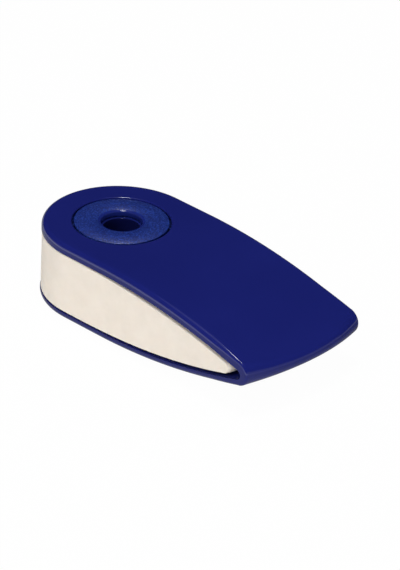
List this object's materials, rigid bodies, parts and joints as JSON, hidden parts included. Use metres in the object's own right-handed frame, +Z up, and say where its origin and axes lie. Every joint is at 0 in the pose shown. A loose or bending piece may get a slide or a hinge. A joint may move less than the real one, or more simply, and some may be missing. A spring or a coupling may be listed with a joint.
{
  "type": "swivel eraser with sleeve",
  "caption": "Wedge-shaped eraser that swivels on a round snap-together hub out of a U-shaped moulded plastic sleeve with a closed nose.",
  "frame": {"origin": "on the resting surface, under the middle of the object's length and width", "axes": "+X along the length towards the closed nose, +Z up along the hub axis, +Y across the width"},
  "size_m": [0.056, 0.026, 0.0137],
  "materials": {
    "sleeve_plastic": "polished dark blue moulded plastic",
    "eraser_vinyl": "dull cream vinyl, slightly mottled",
    "hub_plastic": "blue moulded plastic with a fine spark-eroded grain"
  },
  "bodies": {
    "sleeve": {"sleeve": "sleeve_plastic"},
    "eraser": {"eraser": "eraser_vinyl", "upper_hub": "hub_plastic", "lower_hub": "hub_plastic"}
  },
  "joints": [
    {"name": "eraser_swivel", "type": "hinge", "parent": "sleeve", "child": "eraser", "pos_m": [-0.015, 0, 0.0067], "axis": [0, 0, 1], "continuous": true}
  ]
}
